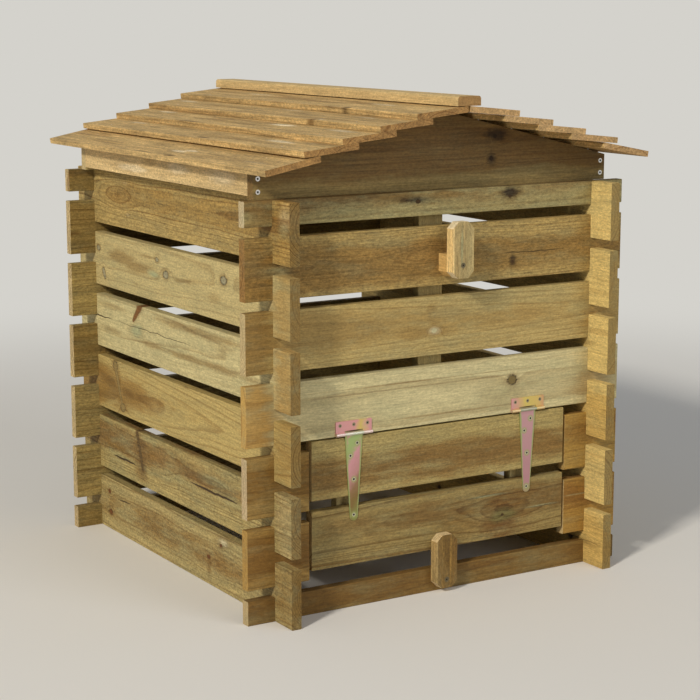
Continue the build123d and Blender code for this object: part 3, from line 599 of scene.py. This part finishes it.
# Pressure-treated softwood, sawn and lightly planed: straw sapwood, tan heartwood, fine lines, matt.
def treatedPine(name):
    middle, turn, size = grainAxes(name)
    sizes = sorted(size / mm)
    look = dict(plainBoard)
    if name.startswith(("roof", "ridge", "lid_rail")):
        look.update(sawnBoards)
    elif name.startswith(("left", "right")):
        look.update(sideBoards)
    look.update(boardLooks.get(name) or chanceLook(name, sizes[2], sizes[1]))
    draw = random.Random("seed " + name)
    pithAcross, halfBand = look["band"] or (draw.uniform(-30, 30), 0)
    pith = Vector((0, pithAcross, -look["depth"]))
    faceOut = sizes[0] / 2
    heart = math.hypot(halfBand, faceOut + look["depth"]) if halfBand else 0
    seed = draw.uniform(0, 90)

    mat, tree, shader = newMaterial("treatedPine_" + name)
    place = addNode(tree, "TexCoord")
    point = addNode(tree, "Mapping", {"Vector": place["Object"], "Location": middle, "Scale": (mm, mm, mm),
                                      "Rotation": turn.to_euler()}, vector_type="TEXTURE")[0]
    endFace = addNode(tree, "VectorMath", {0: place["Normal"], 1: turn.col[0]},
                      operation="DOT_PRODUCT")["Value"]
    endFace = addNode(tree, "Math", {0: endFace}, operation="ABSOLUTE")[0]
    endFace = addNode(tree, "MapRange", {0: endFace, 1: cutEnds["leanFrom"], 2: cutEnds["leanTo"]})[0]
    # hand-sized weathering that frays stains and bands
    fray = grainNoise(tree, point, (seed, seed, seed), pineGrain["weather"], detail=5, roughness=0.68)

    nearest = dict(knot=9.0, swirl=9.0)   # far from any
    check = stained = 0.0
    stain = hexColor(stainTones["brown"])
    for kind in nearest:
        for along, across, radius in look[kind + "s"]:
            root = Vector((along, pith.y, pith.z))
            way = Vector((along, across, faceOut)) - root
            near = addNode(tree, "Group", {
                "Point": point, "Root": root, "Way": way.normalized(), "Slope": radius / way.length,
                "Squeeze": (1 / look[kind + "Long"], 1, 1)}, node_tree=knotGroup)[0]
            nearest[kind] = addNode(tree, "Math", {0: near, 1: nearest[kind]}, operation="MINIMUM")[0]
    for (along, across, wide), (endAlong, endAcross, slim) in look["spikes"]:
        start = Vector((along, across, 0))
        run = Vector((endAlong, endAcross, 0)) - start
        near = addNode(tree, "Group", {
            "Point": point, "From": start, "Run": run, "Pull": run / run.length_squared, "Wide": wide,
            "Slim": slim}, node_tree=spikeGroup)[0]
        nearest["knot"] = addNode(tree, "Math", {0: near, 1: nearest["knot"]}, operation="MINIMUM")[0]
    for start, end, across, width in look["checks"]:
        gap = addNode(tree, "Group", {"Point": point, "From": start, "To": end, "Across": across,
                                      "Width": width}, node_tree=checkGroup)[0]
        check = addNode(tree, "Math", {0: gap, 1: check}, operation="MAXIMUM")[0]
    for kind, along, across, halfLength, halfWidth, strength in look["stains"]:
        amount = addNode(tree, "Group", {
            "Point": point, "Fray": fray, "At": (along, across, 0), "Strength": strength,
            "Squeeze": (1 / halfLength, 1 / halfWidth, 0)}, node_tree=stainGroup)[0]
        stain = addNode(tree, "Mix", {0: amount, 6: stain, 7: hexColor(stainTones[kind])},
                        data_type="RGBA")[2]
        stained = addNode(tree, "Math", {0: amount, 1: stained}, operation="MAXIMUM")[0]

    bulge = look["bulge"] * max([k[2] for k in look["knots"]], default=0)
    pine = addNode(tree, "Group", {
        "Point": point, "Fray": fray, "Pith": pith, "Seed": seed, "Ring": look["ring"],
        "Lines": look["lines"], "Taper": look["taper"], "Wander": look["wander"], "Heart": heart,
        "Knot": nearest["knot"], "Bulge": bulge, "KnotTone": hexColor(look["knotTone"]),
        "Rim": look["rim"], "Halo": look["halo"], "Swirl": nearest["swirl"], "Stain": stain,
        "Stained": stained, "Cast": look["cast"], "Check": check, "Weather": look["weather"],
        "Saw": look["saw"], "EndFace": endFace,
        "EndTint": hexColor(look["endTint"]), "Sap": hexColor(look["sap"]),
        "HeartTone": hexColor(look["heartTone"])}, node_tree=pineGroup)
    bump = addNode(tree, "Bump", {"Height": pine["Height"], "Strength": timberSurface["bump"],
                                  "Distance": mm})[0]
    tree.links.new(pine["Color"], shader.inputs["Base Color"])
    tree.links.new(pine["Rough"], shader.inputs["Roughness"])
    tree.links.new(bump, shader.inputs["Normal"])
    shader.inputs["Specular IOR Level"].default_value = timberSurface["specular"]
    return mat


metalNodes = ("hinge_strap_left", "hinge_strap_right", "hinge_leaf_left", "hinge_leaf_right", "hinge_pins",
              "strap_screws", "front_wall_screws", "pivot_screws", "lid_fixings")
for name in nodes:
    if name not in metalNodes:
        nodes[name].material_slots[0].material = treatedPine(name)
print("timber dressed")


# Pressed steel, zinc plated, yellow passivated: a satin metal, its film drifting from rose to gold or green.
# tones run from the left end of a leaf, or from the top of a strap, as (share of its length, colour).
# slant: how far the film at a strap's right edge is ahead of its middle. knuckleGlint: the pale painted
# highlight along its knuckle, tinted by its film.
hingeLooks = {
    "hinge_leaf_left": dict(slant=0, knuckleGlint="#e0cfc8", tones=[
        (0.0, "#dfa3a3"), (0.54, "#dfa19c"), (0.7, "#dcc36c"), (0.8, "#dcb98a"), (0.9, "#dea09f")]),
    "hinge_leaf_right": dict(slant=0, knuckleGlint="#dfc791", tones=[
        (0.0, "#dca3a0"), (0.22, "#deae90"), (0.45, "#dfc86f"), (0.8, "#dfc274"), (1.0, "#dcab80")]),
    "hinge_strap_left": dict(slant=0.16, knuckleGlint="#d6d6c6", tones=[
        (0.0, "#d3a396"), (0.05, "#a8bd78"), (0.17, "#abb87a"), (0.29, "#d99ea2"), (0.48, "#c8938e"),
        (0.62, "#9f7c5c"), (0.78, "#8c7242"), (1.0, "#949757")]),
    "hinge_strap_right": dict(slant=0, knuckleGlint="#a9b096", tones=[
        (0.0, "#cfa0a2"), (0.5, "#c6989b"), (0.85, "#c28f95"), (1.0, "#b3a276")]),
    "hinge_pins": dict(slant=0, knuckleGlint="#ddd2c8", tones=[(0.0, "#dccfc4"), (1.0, "#dccfc4")]),
}
# Sizes in mm. holes: from a strap's middle and down from its top. The film is green round them.
strapFilm = dict(rim="#a6b272", tipHalf=7.25, rimFrom=0.72, rimTo=0.92, ring="#a9b070", ringMost=0.8,
                 ringNear=3.4, ringFar=7.4, holes=[(6.5, 20.0), (-6.5, 40.5), (0, 81.0), (0, 141.5)])
knuckleHighlight = dict(front=3.6, back=4.4, most=0.85)   # painted highlight along the lit front of the knuckle, fading in between these distances back from its front
zincFilm = dict(patch=22, mottle=0.72, shift=0.18, grain=3, roughLow=0.3, roughHigh=0.48,
                metallic=0.7)   # the film scatters some light


def passivatedZinc(name):
    look = hingeLooks[name]
    mat, tree, shader = newMaterial("yellowPassivatedZinc_" + name)
    place = addNode(tree, "TexCoord")["Object"]
    part = addNode(tree, "SeparateXYZ", {0: place})
    low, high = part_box(name)
    middle = (low + high) / 2
    isStrap = "strap" in name
    ratio = addNode(tree, "MapRange", {0: part["Z"], 1: high.z, 2: low.z} if isStrap else
                    {0: part["X"], 1: low.x, 2: high.x})[0]
    drift = addNode(tree, "TexNoise", {"Vector": place, "Scale": 1 / (zincFilm["patch"] * mm), "Detail": 5,
                                       "Roughness": zincFilm["mottle"]})[0]
    drift = addNode(tree, "MapRange", {0: drift, 3: -zincFilm["shift"], 4: zincFilm["shift"]})[0]
    shifted = addNode(tree, "Math", {0: ratio, 1: drift}, operation="ADD")[0]
    lean = addNode(tree, "MapRange", {0: part["X"], 1: low.x, 2: high.x, 3: -look["slant"],
                                      4: look["slant"]})[0]
    shifted = addNode(tree, "Math", {0: shifted, 1: lean}, operation="ADD")[0]
    ramp = addNode(tree, "ValToRGB", {0: shifted})
    stops = ramp[0].node.color_ramp.elements
    for _ in look["tones"][2:]:
        stops.new(0.5)
    for stop, (at, text) in zip(stops, look["tones"]):
        stop.position = at
        stop.color = hexColor(text)
    film = ramp[0]
    if isStrap:
        half = addNode(tree, "MapRange", {0: ratio, 3: high.x - middle.x, 4: strapFilm["tipHalf"] * mm})[0]
        off = addNode(tree, "Math", {0: part["X"], 1: middle.x}, operation="SUBTRACT")[0]
        off = addNode(tree, "Math", {0: off}, operation="ABSOLUTE")[0]
        off = addNode(tree, "Math", {0: off, 1: half}, operation="DIVIDE")[0]
        off = addNode(tree, "Math", {0: off, 1: drift}, operation="ADD")[0]
        rim = addNode(tree, "MapRange", {0: off, 1: strapFilm["rimFrom"], 2: strapFilm["rimTo"]})[0]
        film = addNode(tree, "Mix", {0: rim, 6: film, 7: hexColor(strapFilm["rim"])}, data_type="RGBA")[2]
        flat = addNode(tree, "VectorMath", {0: place, 1: (1, 0, 1)}, operation="MULTIPLY")[0]
        for across, drop in strapFilm["holes"]:
            hole = (middle.x + across * mm, 0, high.z - drop * mm)
            ring = addNode(tree, "VectorMath", {0: flat, 1: hole}, operation="DISTANCE")["Value"]
            ring = addNode(tree, "MapRange", {0: ring, 1: strapFilm["ringFar"] * mm,
                                              2: strapFilm["ringNear"] * mm, 4: strapFilm["ringMost"]})[0]
            film = addNode(tree, "Mix", {0: ring, 6: film, 7: hexColor(strapFilm["ring"])},
                           data_type="RGBA")[2]
    # painted highlight: the front of the knuckle turns pale
    glintBand = addNode(tree, "MapRange", {0: part["Y"], 1: low.y + knuckleHighlight["back"] * mm,
                                        2: low.y + knuckleHighlight["front"] * mm, 4: knuckleHighlight["most"]})[0]
    film = addNode(tree, "Mix", {0: glintBand, 6: film, 7: hexColor(look["knuckleGlint"])}, data_type="RGBA")[2]
    cloud = addNode(tree, "TexNoise", {"Vector": place, "Scale": 1 / (zincFilm["grain"] * mm),
                                       "Detail": 2})[0]
    rough = addNode(tree, "MapRange", {0: cloud, 3: zincFilm["roughLow"], 4: zincFilm["roughHigh"]})[0]
    tree.links.new(film, shader.inputs["Base Color"])
    tree.links.new(rough, shader.inputs["Roughness"])
    shader.inputs["Metallic"].default_value = zincFilm["metallic"]
    return mat


# Zinc plated screws: bright in the lid, yellower and darker in the hinges, darkest at the pivots.
# The cross recess gets painted shade where ambient occlusion finds it hollow, and a dark disc of painted
# shade fills the recesses of the gable and strap screws. Sizes in mm.
screwTones = {
    "lid_fixings": "#dcdcd8", "strap_screws": "#cfcaae", "front_wall_screws": "#a3987c",
    "pivot_screws": "#716750",
}
screwPlate = dict(grain=2.5, roughLow=0.24, roughHigh=0.44, metallic=0.85)
crossRecess = dict(tone="#1c1a17", reach=2.2, shut=0.5, open=0.9)
gableScrews = dict(side=343.0, heights=(702.0, 723.0))   # out from the middle, up from the ground
recessShade = dict(near=1.4, far=2.2)   # painted shade that fills a recess


def shadedRecesses(name):
    # where painted shade fills a recess, as x and z: in the gables' screws and in the straps' screws
    if name == "lid_fixings":
        return [(side * gableScrews["side"] * mm, height * mm)
                for side in (-1, 1) for height in gableScrews["heights"]]
    heads = []
    if name == "strap_screws":
        for strap in ("hinge_strap_left", "hinge_strap_right"):
            low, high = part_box(strap)
            middle = (low + high) / 2
            heads += [(middle.x + across * mm, high.z - drop * mm) for across, drop in strapFilm["holes"]]
    return heads


def zincScrews(name):
    mat, tree, shader = newMaterial("zincPlate_" + name)
    place = addNode(tree, "TexCoord")["Object"]
    dull = addNode(tree, "TexNoise", {"Vector": place, "Scale": 1 / (screwPlate["grain"] * mm),
                                      "Detail": 2})[0]
    rough = addNode(tree, "MapRange", {0: dull, 3: screwPlate["roughLow"], 4: screwPlate["roughHigh"]})[0]
    # painted shade: the metal turns dark where ambient occlusion finds the recess hollow
    hollow = addNode(tree, "AmbientOcclusion", {"Distance": crossRecess["reach"] * mm}, samples=8,
                     only_local=True)["AO"]
    hollow = addNode(tree, "MapRange", {0: hollow, 1: crossRecess["shut"], 2: crossRecess["open"]})[0]
    flat = addNode(tree, "VectorMath", {0: place, 1: (1, 0, 1)}, operation="MULTIPLY")[0]
    for x, z in shadedRecesses(name):
        away = addNode(tree, "VectorMath", {0: flat, 1: (x, 0, z)}, operation="DISTANCE")["Value"]
        unshaded = addNode(tree, "MapRange", {0: away, 1: recessShade["near"] * mm, 2: recessShade["far"] * mm})[0]
        hollow = addNode(tree, "Math", {0: hollow, 1: unshaded}, operation="MINIMUM")[0]
    metal = addNode(tree, "Mix", {0: hollow, 6: hexColor(crossRecess["tone"]),
                                  7: hexColor(screwTones[name])}, data_type="RGBA")[2]
    tree.links.new(metal, shader.inputs["Base Color"])
    tree.links.new(rough, shader.inputs["Roughness"])
    shader.inputs["Metallic"].default_value = screwPlate["metallic"]
    return mat


for name in metalNodes:
    finish = passivatedZinc if name in hingeLooks else zincScrews
    nodes[name].material_slots[0].material = finish(name)
print("metal dressed")


# Plain pale paper floor. Past the object it turns, for the eye only, into the same pale tone as the room,
# so that no horizon shows. Near the object it is lit and keeps the shadow.
floorLook = dict(half=60.0, color="#eceae5", rough=0.9, specular=0.2, roomTone="#d4d2cc", fadeFrom=1.2,
                 fadeTo=3.2)   # half and the fade in metres


def seenDirectly(tree):
    # camera, mirror and glass rays
    path = addNode(tree, "LightPath")
    seen = addNode(tree, "Math", {0: path["Is Camera Ray"], 1: path["Is Glossy Ray"]},
                   operation="MAXIMUM")[0]
    return addNode(tree, "Math", {0: seen, 1: path["Is Transmission Ray"]}, operation="MAXIMUM")[0]


half = floorLook["half"]
floorMesh = bpy.data.meshes.new("floor")
floorCorners = [(-half, -half, 0), (half, -half, 0), (half, half, 0), (-half, half, 0)]
floorMesh.from_pydata(floorCorners, [], [(0, 1, 2, 3)])
floor = bpy.data.objects.new("floor", floorMesh)
bpy.context.scene.collection.objects.link(floor)
floorMat, tree, paper = newMaterial("matPaper")
paper.inputs["Base Color"].default_value = hexColor(floorLook["color"])
paper.inputs["Roughness"].default_value = floorLook["rough"]
paper.inputs["Specular IOR Level"].default_value = floorLook["specular"]
away = addNode(tree, "VectorMath", {0: addNode(tree, "TexCoord")["Object"]}, operation="LENGTH")["Value"]
away = addNode(tree, "MapRange", {0: away, 1: floorLook["fadeFrom"], 2: floorLook["fadeTo"]},
               interpolation_type="SMOOTHERSTEP")[0]
away = addNode(tree, "Math", {0: away, 1: seenDirectly(tree)}, operation="MULTIPLY")[0]
roomGlow = addNode(tree, "Emission", {0: hexColor(floorLook["roomTone"])})[0]
ground = addNode(tree, "MixShader", {0: away, 1: paper.outputs[0], 2: roomGlow})[0]
tree.links.new(ground, tree.nodes["Material Output"].inputs["Surface"])
floorMesh.materials.append(floorMat)

# Soft studio light: pale surroundings, a large key at the left and a weaker fill at the right
roomLight = dict(color="#f2f4f6", strength=0.28)
world = bpy.data.worlds.new("paleRoom")
world.use_nodes = True
tree = world.node_tree
glow = tree.nodes["Background"]
glow.inputs["Color"].default_value = hexColor(roomLight["color"])
glow.inputs["Strength"].default_value = roomLight["strength"]
backdrop = addNode(tree, "Background", {0: hexColor(floorLook["roomTone"])})[0]
room = addNode(tree, "MixShader", {0: seenDirectly(tree), 1: glow.outputs[0], 2: backdrop})[0]
tree.links.new(room, tree.nodes["World Output"].inputs["Surface"])
bpy.context.scene.world = world
lamps = {
    "keyLight": dict(at=(-12.2, -6.5, 9.1), size=1.8, power=1780, color="#fff8ec"),
    "fillLight": dict(at=(4.4, -11.9, 5.7), size=7.0, power=420, color="#f6f8ff"),
}
for name, look in lamps.items():
    lamp = bpy.data.lights.new(name, "AREA")
    lamp.size = look["size"]
    lamp.energy = look["power"]
    lamp.color = hexColor(look["color"])[:3]
    lampObject = bpy.data.objects.new(name, lamp)
    lampObject.location = look["at"]
    aim = bodyMiddle - lampObject.location
    lampObject.rotation_euler = aim.to_track_quat("-Z", "Y").to_euler()
    bpy.context.scene.collection.objects.link(lampObject)

# The photograph's standpoint, worked out from the corners of the boards, in mm and degrees
viewPoint = dict(aim=(22.9, -14.0, 364.5), distance=3437.8, azimuth=-31.544, elevation=10.459, lens=95.64,
                 sensor=36)
lens = bpy.data.cameras.new("camera")
lens.sensor_width = viewPoint["sensor"]
lens.lens = viewPoint["lens"]
camera = bpy.data.objects.new("camera", lens)
turnAz, turnEl = math.radians(viewPoint["azimuth"]), math.radians(viewPoint["elevation"])
back = Vector((math.sin(turnAz) * math.cos(turnEl), -math.cos(turnAz) * math.cos(turnEl),
               math.sin(turnEl)))
camera.location = (Vector(viewPoint["aim"]) + back * viewPoint["distance"]) * mm
camera.rotation_euler = (math.pi / 2 - turnEl, 0, turnAz)
bpy.context.scene.collection.objects.link(camera)
bpy.context.scene.camera = camera
bpy.context.scene.view_settings.view_transform = "Standard"
print("stage, lights and camera set")
